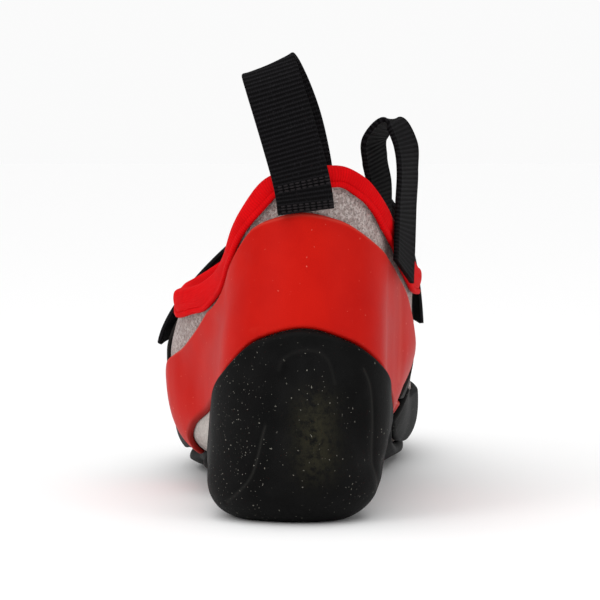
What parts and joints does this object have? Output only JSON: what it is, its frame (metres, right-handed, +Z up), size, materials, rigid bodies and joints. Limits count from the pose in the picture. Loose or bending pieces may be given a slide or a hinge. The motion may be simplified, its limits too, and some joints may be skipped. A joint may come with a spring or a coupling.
{
  "type": "climbing shoe",
  "caption": "Left climbing shoe of grey suede with a red tension rand, black heel cup and sole, red elastic collar, closing strap and webbing pull loops.",
  "frame": {"origin": "on the ground, under the middle of the shoe's outline", "axes": "+Z up, +Y from heel to toe, +X towards the big toe side of this left shoe"},
  "size_m": [0.0974, 0.2498, 0.1503],
  "materials": {
    "suede": "napped matt",
    "red_rubber": "smooth satin",
    "black_rubber": "dusty satin",
    "red_elastic": "fine ribbed knit",
    "webbing": "ribbed weave",
    "synthetic": "matt",
    "board": "matt lining"
  },
  "bodies": {
    "root": {"upper": "suede", "insole": "board", "outsole": "black_rubber", "heel_cup": "black_rubber", "tension_rand": "red_rubber", "toe_rubber": "black_rubber", "lateral_panel": "synthetic", "medial_panel": "synthetic", "collar_binding": "red_elastic", "tongue": "synthetic", "strap": "webbing", "pull_loop_heel": "webbing", "pull_loop_side": "webbing"}
  },
  "joints": []
}
